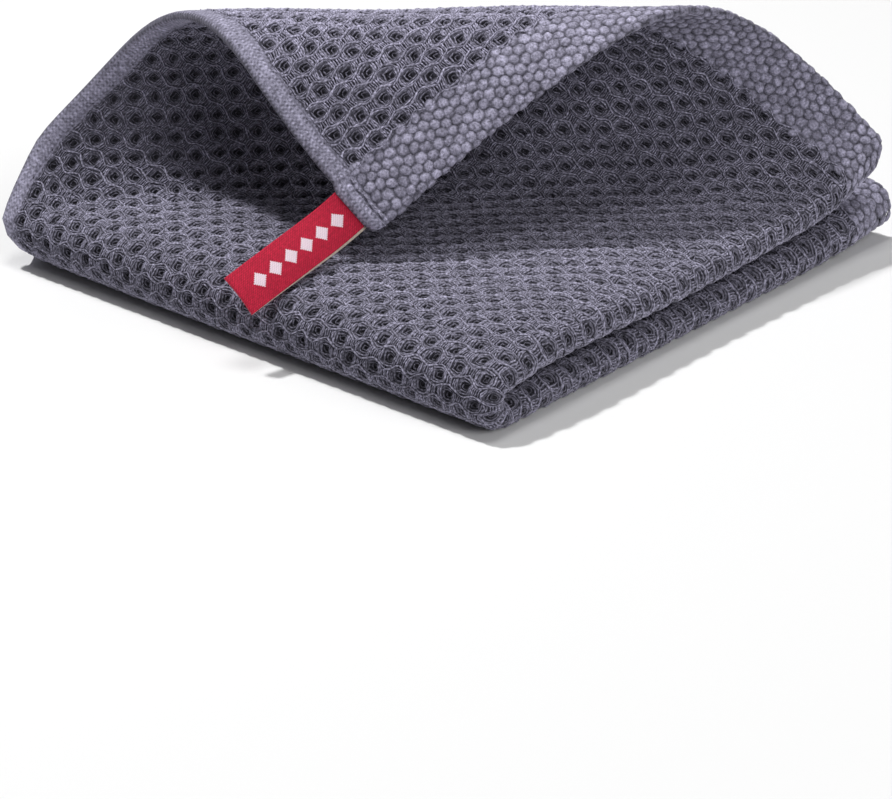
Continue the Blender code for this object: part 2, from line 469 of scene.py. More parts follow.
def drawn_shut(x, y, z):
    """Draws the pits together across the cloth, on the outer face towards the right corner."""
    across, along = cell_place(x, y)
    off = across - np.floor(across) - 0.5
    off_along = along - np.floor(along) - 0.5
    pit = (np.mod(np.floor(across) + np.floor(along), 2) == 0) & (z > 0)
    pit &= (across > 0) & (across < CELLS_ACROSS)
    amount = SHUT * smooth(*SHUT_FROM_FOLD, np.abs(x - SECOND_FOLD)) * smooth(*SHUT_FROM_HEM, y)
    near = np.cos(math.pi * off) * np.cos(math.pi * off_along)
    return x - np.where(pit, amount * near * (off - SHUT_LEAN * off_along) * CELL_X, 0)


def coordinates(piece):
    flat = np.empty(len(piece.data.vertices) * 3, np.float32)
    piece.data.vertices.foreach_get("co", flat)
    return flat.reshape(-1, 3).astype(float)


def place(piece, points):
    piece.data.vertices.foreach_set("co", points.astype(np.float32).ravel())
    piece.data.update()


def keep_value(piece, name, values):
    """Stores one number a vertex, for the materials."""
    kept = piece.data.attributes.new(name, "FLOAT", "POINT")
    kept.data.foreach_set("value", values.astype(np.float32))


def keep_vector(piece, name, vectors):
    kept = piece.data.attributes.new(name, "FLOAT_VECTOR", "POINT")
    kept.data.foreach_set("vector", vectors.astype(np.float32).ravel())


def fold(piece):
    """Carries a piece from the flat towel to the folded one."""
    flat = coordinates(piece)
    keep_value(piece, "depth", np.abs(flat[:, 2]))
    keep_vector(piece, "flat_place", flat)
    stray_x, stray_y = uneven(flat[:, 0], flat[:, 1])
    inside = smooth(0, STRAY_RAMP, np.minimum(flat[:, 0], CLOTH_SIDE - flat[:, 0]))
    inside *= smooth(0, STRAY_RAMP, np.minimum(flat[:, 1], CLOTH_SIDE - flat[:, 1]))
    x = drawn_shut(flat[:, 0], flat[:, 1], flat[:, 2])
    x, y = rounded_corners(x + stray_x * inside, flat[:, 1] + stray_y * inside)
    at_band = smooth(0, BAND_END_RAMP, x - CLOTH_SIDE + BAND_WIDTH)
    y = y - BAND_END_PROUD * at_band * (1 - smooth(0, BAND_END_REACH, y))
    place(piece, cloth_points(x, y) + outwards(x, y) * flat[:, 2:3])
    piece.data.shade_smooth()


def deselect():
    for thing in bpy.context.selected_objects:
        thing.select_set(False)


def choose(piece):
    deselect()
    piece.select_set(True)
    bpy.context.view_layer.objects.active = piece


def grid(name, columns, rows):
    """A flat grid with its lines at these columns and rows."""
    deselect()
    bpy.ops.mesh.primitive_grid_add(
        x_subdivisions=len(columns) - 1, y_subdivisions=len(rows) - 1, size=1)
    piece = bpy.context.object
    piece.name = name
    piece.data.name = name
    points = coordinates(piece)
    i = np.rint((points[:, 0] + 0.5) * (len(columns) - 1)).astype(int)
    j = np.rint((points[:, 1] + 0.5) * (len(rows) - 1)).astype(int)
    points[:, 0] = np.asarray(columns)[i]
    points[:, 1] = np.asarray(rows)[j]
    place(piece, points)
    return piece, i, j


def apply_all(piece):
    choose(piece)
    for modifier in list(piece.modifiers):
        bpy.ops.object.modifier_apply(modifier=modifier.name)


def join(name, parts):
    deselect()
    for part in parts:
        part.select_set(True)
    bpy.context.view_layer.objects.active = parts[0]
    if len(parts) > 1:
        bpy.ops.object.join()
    parts[0].name = name
    parts[0].data.name = name
    return parts[0]


def repeat(piece, count, x=0.0, y=0.0):
    """Lays copies of the piece side by side."""
    array = piece.modifiers.new("Repeat", "ARRAY")
    array.count = count
    array.use_relative_offset = False
    array.use_constant_offset = True
    array.constant_offset_displace = (x, y, 0)
    choose(piece)
    bpy.ops.object.modifier_apply(modifier=array.name)


# The ground: one closed sheet, finer where it shows

def cell_place(x, y):
    return (x - BAND_WIDTH) / CELL_X, (y - HEM_WIDTH) / CELL_Y


def ground_height(x, y, side):
    """Height of the ground of the weave over the middle of the cloth."""
    across, along = cell_place(x, y)
    column = np.floor(across)
    row = np.floor(along)
    odd = np.mod(column + row, 2)
    pit = odd == (0 if side == FACE else 1)
    hollow = 1 - smooth(*PIT_RIM, np.abs(across - column - 0.5))
    hollow = hollow * (1 - smooth(*PIT_RIM, np.abs(along - row - 0.5)))
    floor = np.where(pit, GROUND_PIT, GROUND_MAT)
    height = between(GROUND_RIDGE, floor, hollow)
    from_side = np.minimum(x, CLOTH_SIDE - x)
    from_end = np.minimum(y, CLOTH_SIDE - y)
    in_band = from_side < BAND_WIDTH - TINY
    in_hem = (from_end < HEM_WIDTH - TINY) & ~in_band
    height = np.where(in_band, BAND_GROUND, height)
    height = np.where(in_hem, profile(HEM_PROFILE, from_end), height)
    end_of_band = in_band & (from_end < BAND_HEM_PROFILE[-1][0] + TINY)
    height = np.where(end_of_band, profile(BAND_HEM_PROFILE, from_end), height)
    underneath = (x < SECOND_FOLD) & (side == FACE)
    height = np.where(underneath, np.minimum(height, UNDERSIDE_HEIGHT), height)
    return height * np.where(from_end > EDGE_END, profile(EDGE_PROFILE, from_side), 1)


def profile(rows, place):
    return np.interp(place, [row[0] for row in rows], [row[1] for row in rows])


def shows(x, y, side):
    """Whether this face of the cloth can be seen there."""
    top = x > SECOND_FOLD - SECOND_REACH
    outer = y < FIRST_FOLD + FIRST_REACH + np.where(top, CELL_Y, BETWEEN_FOLDS)
    if side == FACE:
        return outer
    u, v = x - SECOND_FOLD - SECOND_REACH, np.abs(y - FIRST_FOLD) - FIRST_REACH
    along = u * math.cos(THREAD_TURN) + v * math.sin(THREAD_TURN)
    return top & (u > 0) & (v > 0) & (along > INNER_FROM)


def make_ground():
    hem = sorted({row[0] for row in HEM_PROFILE[:-1] + BAND_HEM_PROFILE})
    columns = [*BAND_LINES] + [BAND_WIDTH + CELL_X * n for n in range(CELLS_ACROSS + 1)]
    columns += [CLOTH_SIDE - line for line in reversed(BAND_LINES)]
    rows = hem + [HEM_WIDTH + CELL_Y * n for n in range(CELLS_ALONG + 1)]
    rows += [CLOTH_SIDE - line for line in reversed(hem)]
    ground, _, _ = grid("waffle_cloth", columns, rows)
    solid = ground.modifiers.new("Two faces", "SOLIDIFY")
    solid.thickness = 2 * PLAIN_HEIGHT
    solid.offset = 0
    apply_all(ground)
    for side in (FACE, BACK):
        refine(ground, side)
    points = coordinates(ground)
    for side in (FACE, BACK):
        on_side = points[:, 2] * side > 0
        x, y = points[on_side, 0], points[on_side, 1]
        edge = np.minimum(np.minimum(x, CLOTH_SIDE - x), np.minimum(y, CLOTH_SIDE - y))
        relief = shows(x, y, side) | (edge < HEM_WIDTH)
        height = np.where(relief, ground_height(x, y, side), PLAIN_HEIGHT)
        points[on_side, 2] *= height / PLAIN_HEIGHT
    place(ground, points)
    fold(ground)
    return ground


def face_centres(piece):
    centres = np.empty(len(piece.data.polygons) * 3, np.float32)
    piece.data.polygons.foreach_get("center", centres)
    return centres.reshape(-1, 3)


def edit_faces(piece, chosen, edit, **settings):
    """Does one of Blender's edits to the chosen faces."""
    choose(piece)
    bpy.ops.object.mode_set(mode="EDIT")
    bpy.ops.mesh.select_mode(type="FACE")
    bpy.ops.mesh.select_all(action="DESELECT")
    bpy.ops.object.mode_set(mode="OBJECT")
    piece.data.polygons.foreach_set("select", chosen)
    bpy.ops.object.mode_set(mode="EDIT")
    edit(**settings)
    bpy.ops.object.mode_set(mode="OBJECT")


def refine(ground, side):
    """Cuts the cells that show on this face into a finer grid."""
    x, y, z = face_centres(ground).T
    in_weave = (x > BAND_WIDTH) & (x < CLOTH_SIDE - BAND_WIDTH)
    in_weave &= (y > HEM_WIDTH) & (y < CLOTH_SIDE - HEM_WIDTH)
    chosen = in_weave & (z * side > PLAIN_HEIGHT / 2) & shows(x, y, side)
    edit_faces(ground, chosen, bpy.ops.mesh.subdivide, number_cuts=GROUND_STEPS - 1)


# Yarns: strips with a rounded back, laid over the ground

def yarn(name, stations, path, width=YARN_WIDTH, drop=YARN_DROP):
    """A strip along stations, whose middle is at path(station), and rounded across."""
    strip, i, j = grid(name, range(3), range(len(stations)))
    middle = path(np.asarray(stations, float))
    ahead = np.gradient(middle[:, :2], axis=0)
    ahead /= np.linalg.norm(ahead, axis=1)[:, None]
    sideways = np.stack([ahead[:, 1], -ahead[:, 0]], axis=1)
    across = (i - 1) / 2
    crown = 1 - np.abs(i - 1.0)
    points = np.empty((len(i), 3))
    points[:, :2] = middle[j, :2] + sideways[j] * (across * width)[:, None]
    points[:, 2] = middle[j, 2] - (1 - crown) * drop
    place(strip, points)
    steps = np.linalg.norm(np.diff(middle, axis=0), axis=1)
    length = np.concatenate([[0], np.cumsum(steps)])
    keep_value(strip, "crown", crown)
    keep_value(strip, "twist", math.tau * length[j] / TWIST_PITCH + TWIST_LEAN * across)
    return strip


def vary(piece, size, sway, turn=0.0, grow=0.0, tilt=0.0):
    """Gives each copy of a yarn, size vertices long, its own tone, sway, turn and size."""
    points = coordinates(piece)
    count = len(points) // size
    keep_value(piece, "tone", np.repeat(chance.uniform(-1, 1, count), size))
    copies = points.reshape(count, size, 3)
    middle = copies.mean(axis=1, keepdims=True)
    off = copies - middle
    angle = chance.uniform(-turn, turn, (count, 1))
    larger = 1 + chance.uniform(-grow, grow, (count, 1))
    slopes = chance.uniform(-tilt, tilt, (2, count, 1))
    copies[:, :, 0] = off[:, :, 0] * np.cos(angle) - off[:, :, 1] * np.sin(angle)
    copies[:, :, 1] = off[:, :, 0] * np.sin(angle) + off[:, :, 1] * np.cos(angle)
    copies[:, :, :2] *= larger[:, :, None]
    copies[:, :, 2] += slopes[0] * off[:, :, 0] + slopes[1] * off[:, :, 1]
    copies[:, :, :2] += middle[:, :, :2]
    copies += chance.uniform(-1, 1, (count, 1, 3)) * np.array(sway)
    place(piece, copies.reshape(-1, 3))


def zigzag(phase):
    """A wave of straight slopes and blunt turns."""
    return np.sin(phase) - np.sin(3 * phase) / 3 ** 2


def dividers(area, phase):
    """Wavy yarns along the cloth, between the columns of cells."""
    first_column, last_column, first_row, last_row = area
    stations = np.arange(first_row, last_row + TINY, 1 / STEPS_A_CELL)
    parts = []
    for start in (first_column, first_column + 1):
        bow = DIVIDER_BOW * (1 if (start + phase) % 2 else -1)

        def path(row):
            x = BAND_WIDTH + CELL_X * start + bow * zigzag(math.pi * row)
            y = HEM_WIDTH + CELL_Y * row
            z = DIVIDER_HEIGHT + DIVIDER_SWELL * np.cos(math.tau * row)
            return np.stack([x, y, z], axis=1)
        strand = yarn("divider", stations, path)
        size = len(strand.data.vertices)
        repeat(strand, (last_column - start) // 2 + 1, x=2 * CELL_X)
        vary(strand, size, LONG_SWAY)
        parts.append(strand)
    return parts


def rungs(area, phase):
    """Wavy yarns across the cloth, which pass under the dividers."""
    first_column, last_column, first_row, last_row = area
    stations = np.arange(first_column, last_column + TINY, 1 / STEPS_A_CELL)
    parts = []
    for start in (first_row, first_row + 1):
        bow = RUNG_BOW * (1 if (start + phase) % 2 else -1)

        def path(column):
            x = BAND_WIDTH + CELL_X * column
            y = HEM_WIDTH + CELL_Y * start + bow * zigzag(math.pi * column)
            z = RUNG_HEIGHT - RUNG_DIP * np.cos(math.pi * column) ** 4
            return np.stack([x, y, z], axis=1)
        strand = yarn("rung", stations, path)
        size = len(strand.data.vertices)
        repeat(strand, (last_row - start) // 2 + 1, y=2 * CELL_Y)
        vary(strand, size, LONG_SWAY)
        parts.append(strand)
    return parts


def cell_yarns(name, area, odd, offsets, path, stations, changes=(), **shape):
    """Copies a short yarn to every second cell, in each second row a column on."""
    first_column, last_column, first_row, last_row = area
    parts = []
    for row in (first_row, first_row + 1):
        column = first_column + (first_column + row + odd) % 2
        for apart in offsets:
            strand = yarn(name, stations, lambda share: path(column, row, apart, share), **shape)
            size = len(strand.data.vertices)
            repeat(strand, max((last_column - column - 1) // 2 + 1, 1), x=2 * CELL_X)
            repeat(strand, max((last_row - row - 1) // 2 + 1, 1), y=2 * CELL_Y)
            vary(strand, size, SHORT_SWAY, *changes)
            parts.append(strand)
    return parts


def mats(area, phase):
    """Short yarns side by side over each cell that isn't a pit."""
    places = [MAT_APART * (n - (MAT_STRANDS - 1) / 2) for n in range(MAT_STRANDS)]

    def path(column, row, apart, share):
        x = BAND_WIDTH + CELL_X * (column + 0.5 + MAT_LENGTH * share)
        y = HEM_WIDTH + CELL_Y * (row + 0.5) + apart + 0 * share
        z = MAT_HEIGHT - MAT_DIP * (2 * np.abs(share)) ** 3
        return np.stack([x, y, z], axis=1)
    return cell_yarns("mat", area, 1 + phase, places, path, np.linspace(-0.5, 0.5, STEPS_A_CELL),
                      width=MAT_WIDTH)


def pit_floats(area, phase):
    """Short yarns that step down into each pit from its four sides."""
    changes = (FLOAT_TURN, FLOAT_GROW, FLOAT_TILT)
    stations = np.linspace(-0.5, 0.5, FLOAT_STATIONS)
    parts = []
    for half_x, half_y, high, width, lean in PIT_STEPS:
        def middle(column, row):
            return (BAND_WIDTH + CELL_X * (column + 0.5) + lean * PIT_LEAN[phase][0],
                    HEM_WIDTH + CELL_Y * (row + 0.5) + lean * PIT_LEAN[phase][1])

        def beside(column, row, apart, share):
            x, y = middle(column, row)
            x = x + apart * (1 - FLOAT_BOW[0] * (2 * share) ** 2)
            z = high - FLOAT_DIP * (2 * share) ** 2
            return np.stack([x, y + 2 * FLOAT_REACH * half_y * share, z], axis=1)

        def above(column, row, apart, share):
            x, y = middle(column, row)
            y = y + apart * (1 - FLOAT_BOW[1] * (2 * share) ** 2)
            z = high - FLOAT_DIP * (2 * share) ** 2
            return np.stack([x + 2 * FLOAT_REACH * half_x * share, y, z], axis=1)
        for path, half in ((beside, half_x), (above, half_y)):
            parts += cell_yarns("pit float", area, phase, (-half, half), path, stations, changes,
                                width=width)
    return parts


def flip(piece):
    """Turns a piece made on the outer face over to the inner one."""
    points = coordinates(piece)
    points[:, 2] *= -1
    place(piece, points)
    piece.data.flip_normals()


def keep_where(piece, test):
    """Deletes the faces whose middle fails test(x, y)."""
    x, y, _ = face_centres(piece).T
    gone = ~test(x, y)
    if gone.any():
        edit_faces(piece, gone, bpy.ops.mesh.delete, type="FACE")


def make_yarns(name, x_range, y_range, side, makers):
    """The yarns of one part of the cloth, on one face."""
    area = [round((x - BAND_WIDTH) / CELL_X) for x in x_range]
    area += [round((y - HEM_WIDTH) / CELL_Y) for y in y_range]
    phase = 0 if side == FACE else 1
    parts = []
    for maker in makers:
        parts += maker(area, phase)
    piece = join(name, parts)
    if side == BACK:
        flip(piece)
        keep_where(piece, lambda x, y: shows(x, y, BACK))
    fold(piece)
    return piece


def make_bumps(name, edge, y_range, side):
    """Popcorn bumps in staggered rows on a part of a band, on round its outer edge."""
    over_fold = 2 * FIRST_REACH * (FOLD_SQUEEZE - 1) if side == FACE else 0
    rows = int((y_range[1] + over_fold - y_range[0]) / BUMP_ALONG)
    in_row = int(BAND_WIDTH / BUMP_ACROSS) + 1
    way = 1 if edge < CLOTH_SIDE / 2 else -1
    parts = []
    for start in (0, 1):
        bump, i, j = grid(name, range(BUMP_STEPS + 1), range(BUMP_STEPS + 1))
        across = 2 * i / BUMP_STEPS - 1
        along = 2 * j / BUMP_STEPS - 1
        round_x = across * np.sqrt(1 - along ** 2 / 2)
        round_y = along * np.sqrt(1 - across ** 2 / 2)
        out = np.minimum(round_x ** 2 + round_y ** 2, 1)
        points = np.empty((len(i), 3))
        inwards = way * (BUMP_FROM_EDGE - 0.5 * start)
        points[:, 0] = edge + BUMP_ACROSS * (inwards + BUMP_HALF[0] * round_x)
        points[:, 1] = y_range[0] + BUMP_ALONG * (0.5 + start + BUMP_HALF[1] * round_y)
        dome = (1 - BUMP_RIM * out) ** BUMP_FLATNESS
        points[:, 2] = BAND_GROUND - BUMP_SINK + BUMP_HEIGHT * dome
        place(bump, points)
        keep_value(bump, "crown", 1 - out ** 4)
        keep_value(bump, "twist", np.zeros(len(i)))
        size = len(bump.data.vertices)
        repeat(bump, in_row, x=way * BUMP_ACROSS)
        repeat(bump, (rows - start + 1) // 2, y=2 * BUMP_ALONG)
        vary(bump, size, SHORT_SWAY, BUMP_TURN, BUMP_GROW)
        parts.append(bump)
    piece = join(name, parts)
    points = coordinates(piece)
    if side == FACE:
        low = FIRST_FOLD - FIRST_REACH
        over = points[:, 1] - low
        squeezed = np.clip(over, 0, 2 * FIRST_REACH * FOLD_SQUEEZE)
        points[:, 1] = low + over - squeezed + squeezed / FOLD_SQUEEZE
    within = (points[:, 0] - edge) * way
    turn = np.clip(1 - within / SELVAGE_RADIUS, 0, SELVAGE_TURN)
    reach = SELVAGE_RADIUS + points[:, 2] - BAND_GROUND
    wrapped = SELVAGE_RADIUS - reach * np.sin(turn)
    points[:, 0] = np.where(turn > 0, edge + way * wrapped, points[:, 0])
    points[:, 2] = np.where(turn > 0, BAND_GROUND - SELVAGE_RADIUS + reach * np.cos(turn),
                            points[:, 2])
    place(piece, points)
    if side == BACK:
        flip(piece)
    fold(piece)
    return piece


def make_stitches():
    """The double row of stitches at the lifted corner, and the binding of the band's end."""
    parts = []
    for row, y in enumerate(STITCH_ROWS):
        def path(share):
            x = CLOTH_SIDE - BAND_WIDTH + STITCH_SHIFT * (1 + row) + STITCH_LENGTH * share
            z = STITCH_HEIGHT - STITCH_DIP * (2 * share - 1) ** 4
            return np.stack([x, y + 0 * share, z], axis=1)
        stitch = yarn("stitch", np.linspace(0, 1, 5), path, width=STITCH_WIDTH, drop=STITCH_DROP)
        repeat(stitch, int((BAND_WIDTH - STITCH_SHIFT) / STITCH_APART), x=STITCH_APART)
        parts.append(stitch)

    def binding_path(share):
        y = between(*BINDING_REACH, share)
        z = BINDING_HEIGHT - BINDING_DIP * (2 * share - 1) ** 6
        return np.stack([CLOTH_SIDE - BAND_WIDTH + 0 * share, y, z], axis=1)
    parts.append(yarn("binding", np.linspace(0, 1, 9), binding_path, width=BINDING_WIDTH,
                      drop=BINDING_DROP))
    piece = join("corner_stitches", parts)
    flip(piece)
    fold(piece)
    return piece


# The label: a folded ribbon, caught in the hem at the lifted corner

def label_path():
    """Stations down the label's middle: place, way across and way off its face."""
    along = np.array([CLOTH_SIDE - LABEL_FROM_CORNER])
    end = np.array([0.0])
    step = LABEL_WIDTH / 2
    edge = (cloth_points(along + step, end) - cloth_points(along - step, end))[0]
    edge = Vector(edge).normalized()
    out = Vector((cloth_points(along, end) - cloth_points(along, end + step))[0])
    out = (out - out.project(edge)).normalized()
    spot = Vector(cloth_points(along, end)[0]) - out * LABEL_TUCK
    lie = Vector(LABEL_LIE)
    places, wides, offs = [], [], []
    total = LABEL_LENGTH + LABEL_TUCK
    for n in range(LABEL_STEPS + 1):
        part = max(n / LABEL_STEPS * total - LABEL_TUCK, 0) / LABEL_LENGTH
        bent = float(smooth(0, LABEL_BEND, part))
        heading = out.lerp(lie, bent).normalized()
        wide = (edge - edge.project(heading)).normalized()
        places.append(spot.copy())
        wides.append(wide)
        offs.append(heading.cross(wide))
        spot += heading * total / LABEL_STEPS
    return np.array(places), np.array(wides), np.array(offs)


def make_label():
    """The ribbon is laid out flat, both layers in a row, then folded at its free end."""
    total = LABEL_LENGTH + LABEL_TUCK
    turn = math.pi * RIBBON_BEND
    runs = np.linspace(0, total - RIBBON_BEND, LABEL_STEPS)
    bends = np.linspace(0, math.pi, RIBBON_BEND_STEPS + 1)[1:-1]
    end = runs[-1]
    lengths = np.concatenate([runs, end + bends / math.pi * turn, end + turn + end - runs[::-1]])
    ribbon, _, j = grid("label_ribbon", RIBBON_LINES, lengths)
    flat = coordinates(ribbon)
    keep_vector(ribbon, "ribbon_place", np.stack(
        [lengths[j], flat[:, 0] * LABEL_WIDTH, np.zeros(len(j))], axis=1))
    choose(ribbon)
    solid = ribbon.modifiers.new("Thickness", "SOLIDIFY")
    solid.thickness = RIBBON_THICK
    solid.offset = 0
    apply_all(ribbon)
    flat = coordinates(ribbon)
    length = flat[:, 1]
    height = flat[:, 2]
    bend = np.clip((length - end) / turn, 0, 1) * math.pi
    after = np.maximum(length - end - turn, 0)
    down = np.minimum(length, end) - after + (RIBBON_BEND + height) * np.sin(bend)
    off = (RIBBON_BEND + height) * np.cos(bend)
    places, wides, offs = label_path()
    station = down / total * LABEL_STEPS
    crown = LABEL_CROWN * (1 - 4 * flat[:, 0] ** 2) * np.clip(down / total / CROWN_FULL, 0, 1)
    slip = np.where(bend > math.pi / 2, LABEL_SLIP * np.clip(1 - down / total, 0, 1), 0)
    across = flat[:, 0] * LABEL_WIDTH + slip
    points = np.zeros((len(flat), 3))
    for axis in range(3):
        spots = np.arange(LABEL_STEPS + 1)
        wide = np.interp(station, spots, wides[:, axis])
        away = np.interp(station, spots, offs[:, axis])
        points[:, axis] = np.interp(station, spots, places[:, axis]) + wide * across
        points[:, axis] += away * (off + crown)
    points[:, 2] -= LABEL_SETTLE * np.clip(down / total, 0, 1) ** SETTLE_POWER
    keep_value(ribbon, "wrong_side", (height < 0).astype(float))
    place(ribbon, points)
    ribbon.data.shade_smooth()
    return ribbon


# Materials

def wire(tree, output, target):
    tree.links.new(output, target)


def add(tree, kind, **settings):
    made = tree.nodes.new(kind)
    for name, value in settings.items():
        setattr(made, name, value)
    return made


def maths(tree, operation, first, second=None):
    """A maths node whose inputs are sockets or numbers; gives its output."""
    made = add(tree, "ShaderNodeMath", operation=operation)
    for socket, value in zip(made.inputs, (first, second)):
        if isinstance(value, (int, float)):
            socket.default_value = value
        elif value is not None:
            wire(tree, value, socket)
    return made.outputs[0]


def ramp(tree, value, low, high, to_low, to_high):
    made = add(tree, "ShaderNodeMapRange")
    for name, number in (("From Min", low), ("From Max", high),
                         ("To Min", to_low), ("To Max", to_high)):
        made.inputs[name].default_value = number
    wire(tree, value, made.inputs["Value"])
    return made.outputs["Result"]


def attribute(tree, name):
    return add(tree, "ShaderNodeAttribute", attribute_name=name)


def noise(tree, place_socket, scale, detail=2.0, roughness=0.5):
    made = add(tree, "ShaderNodeTexNoise")
    made.inputs["Scale"].default_value = scale
    made.inputs["Detail"].default_value = detail
    made.inputs["Roughness"].default_value = roughness
    wire(tree, place_socket, made.inputs["Vector"])
    return made.outputs["Fac"]


def tinted(tree, colour, shade):
    """The colour multiplied by a shade."""
    made = add(tree, "ShaderNodeMix", data_type="RGBA", blend_type="MULTIPLY")
    made.inputs["Factor"].default_value = 1
    made.inputs["A"].default_value = (*colour, 1)
    wire(tree, shade, made.inputs["B"])
    return made.outputs["Result"]


def mixed(tree, factor, first, second):
    made = add(tree, "ShaderNodeMix", data_type="RGBA")
    wire(tree, factor, made.inputs["Factor"])
    for name, value in (("A", first), ("B", second)):
        if isinstance(value, tuple):
            made.inputs[name].default_value = (*value, 1)
        else:
            wire(tree, value, made.inputs[name])
    return made.outputs["Result"]


def times(tree, first, second):
    return maths(tree, "MULTIPLY", first, second)


def plus(tree, first, second):
    return maths(tree, "ADD", first, second)


def minus(tree, first, second):
    return maths(tree, "SUBTRACT", first, second)


def swing(tree, value, reach):
    """A shade round 1, which goes up and down with the value, -1 to 1."""
    return plus(tree, times(tree, value, reach), 1.0)


def up_from(tree, low, part):
    """From low to 1 as the part goes from 0 to 1."""
    return plus(tree, times(tree, part, minus(tree, 1.0, low)), low)


def wave(tree, value, length):
    return maths(tree, "SINE", times(tree, value, math.tau / length))


def relief(tree, shader, height, strength, distance):
    bump = add(tree, "ShaderNodeBump")
    bump.inputs["Strength"].default_value = strength
    bump.inputs["Distance"].default_value = distance
    wire(tree, height, bump.inputs["Height"])
    wire(tree, bump.outputs["Normal"], shader.inputs["Normal"])


def fibre_group():
    """Cotton fibres: mottled, twisted, and dark where the light can't reach."""
    group = bpy.data.node_groups.new("cotton fibres", "ShaderNodeTree")
    face = group.interface
    for name, kind, default in (
            ("Place", "NodeSocketVector", None), ("Depth", "NodeSocketFloat", 0.001),
            ("Crown", "NodeSocketFloat", 1.0), ("Twist", "NodeSocketFloat", 0.0),
            ("Tone", "NodeSocketFloat", 0.0),
            ("Hollow shade", "NodeSocketFloat", 0.2), ("Side shade", "NodeSocketFloat", 0.5),
            ("Mottle", "NodeSocketFloat", 0.3)):
        socket = face.new_socket(name, in_out="INPUT", socket_type=kind)
        if default is not None:
            socket.default_value = default
    for name in ("Shade", "Height"):
        face.new_socket(name, in_out="OUTPUT", socket_type="NodeSocketFloat")
    inside = group.nodes.new("NodeGroupInput").outputs
    outside = group.nodes.new("NodeGroupOutput").inputs
    fine = noise(group, inside["Place"], FIBRE_SCALE, detail=3, roughness=0.7)
    soft = noise(group, inside["Place"], PATCH_SCALE)
    lit = ramp(group, inside["Depth"], *HOLLOW_DEPTH, 0.0, 1.0)
    lit = up_from(group, inside["Hollow shade"], maths(group, "POWER", lit, HOLLOW_POWER))
    side = up_from(group, inside["Side shade"], inside["Crown"])
    fibres = times(group, minus(group, fine, 0.5), FIBRE_SWING)
    twist = maths(group, "SINE", inside["Twist"])
    shade = times(group, lit, side)
    for factor in (swing(group, inside["Tone"], TONE_SWING),
                   swing(group, fibres, inside["Mottle"]),
                   ramp(group, soft, *NOISE_RANGE, *PATCH_SHADES),
                   swing(group, twist, TWIST_SWING)):
        shade = times(group, shade, factor)
    wire(group, maths(group, "MAXIMUM", shade, DARKEST), outside["Shade"])
    wire(group, plus(group, fine, times(group, twist, TWIST_RELIEF)), outside["Height"])
    return group


def new_material(name, roughness, sheen, tint):
    material = bpy.data.materials.new(name)
    material.use_nodes = True
    shader = material.node_tree.nodes["Principled BSDF"]
    shader.inputs["Roughness"].default_value = roughness
    shader.inputs["Specular IOR Level"].default_value = 0.2
    shader.inputs["Sheen Weight"].default_value = sheen
    shader.inputs["Sheen Roughness"].default_value = 0.5
    shader.inputs["Sheen Tint"].default_value = (*tint, 1)
    return material, material.node_tree, shader


def cotton(name, fibres, ribs=None):
    """Soft matt cotton yarn; ribs are the fine plain weave of a hem, two lengths in metres."""
    material, tree, shader = new_material(name, roughness=0.95, sheen=0.25, tint=COTTON_SHEEN)
    colour, hollow, side, mottle = COTTONS[name]
    threads = add(tree, "ShaderNodeGroup", node_tree=fibres)
    wire(tree, add(tree, "ShaderNodeTexCoord").outputs["Object"], threads.inputs["Place"])
    for socket in ("Depth", "Crown", "Twist", "Tone"):
        wire(tree, attribute(tree, socket.lower()).outputs["Fac"], threads.inputs[socket])
    for socket, value in (("Hollow shade", hollow), ("Side shade", side), ("Mottle", mottle)):
        threads.inputs[socket].default_value = value
    shade = threads.outputs["Shade"]
    height = threads.outputs["Height"]
    if ribs:
        spot = add(tree, "ShaderNodeSeparateXYZ")
        wire(tree, attribute(tree, "flat_place").outputs["Vector"], spot.inputs[0])
        across = wave(tree, spot.outputs[0], ribs[0])
        checks = times(tree, across, wave(tree, spot.outputs[1], ribs[1]))
        weave = plus(tree, times(tree, checks, RIB_MIX[0]), times(tree, across, RIB_MIX[1]))
        shade = times(tree, shade, swing(tree, weave, RIB_SWING))
        # Painted shade: a dark dot at each needle hole
        turn = maths(tree, "FRACT", maths(tree, "DIVIDE", spot.outputs[0], HOLES_APART))
        off_x = times(tree, minus(tree, turn, 0.5), HOLES_APART)
        off_y = minus(tree, spot.outputs[1], HOLES_IN)
        away = plus(tree, times(tree, off_x, off_x), times(tree, off_y, off_y))
        away = maths(tree, "SQRT", away)
        hole = ramp(tree, away, HOLE_CORE * HOLE_SIZE, HOLE_SIZE, HOLE_SHADE, 1.0)
        shade = times(tree, shade, hole)
        height = plus(tree, height, times(tree, weave, RIB_RELIEF))
    wire(tree, tinted(tree, colour, shade), shader.inputs["Base Color"])
    relief(tree, shader, height, *COTTON_RELIEF)
    return material


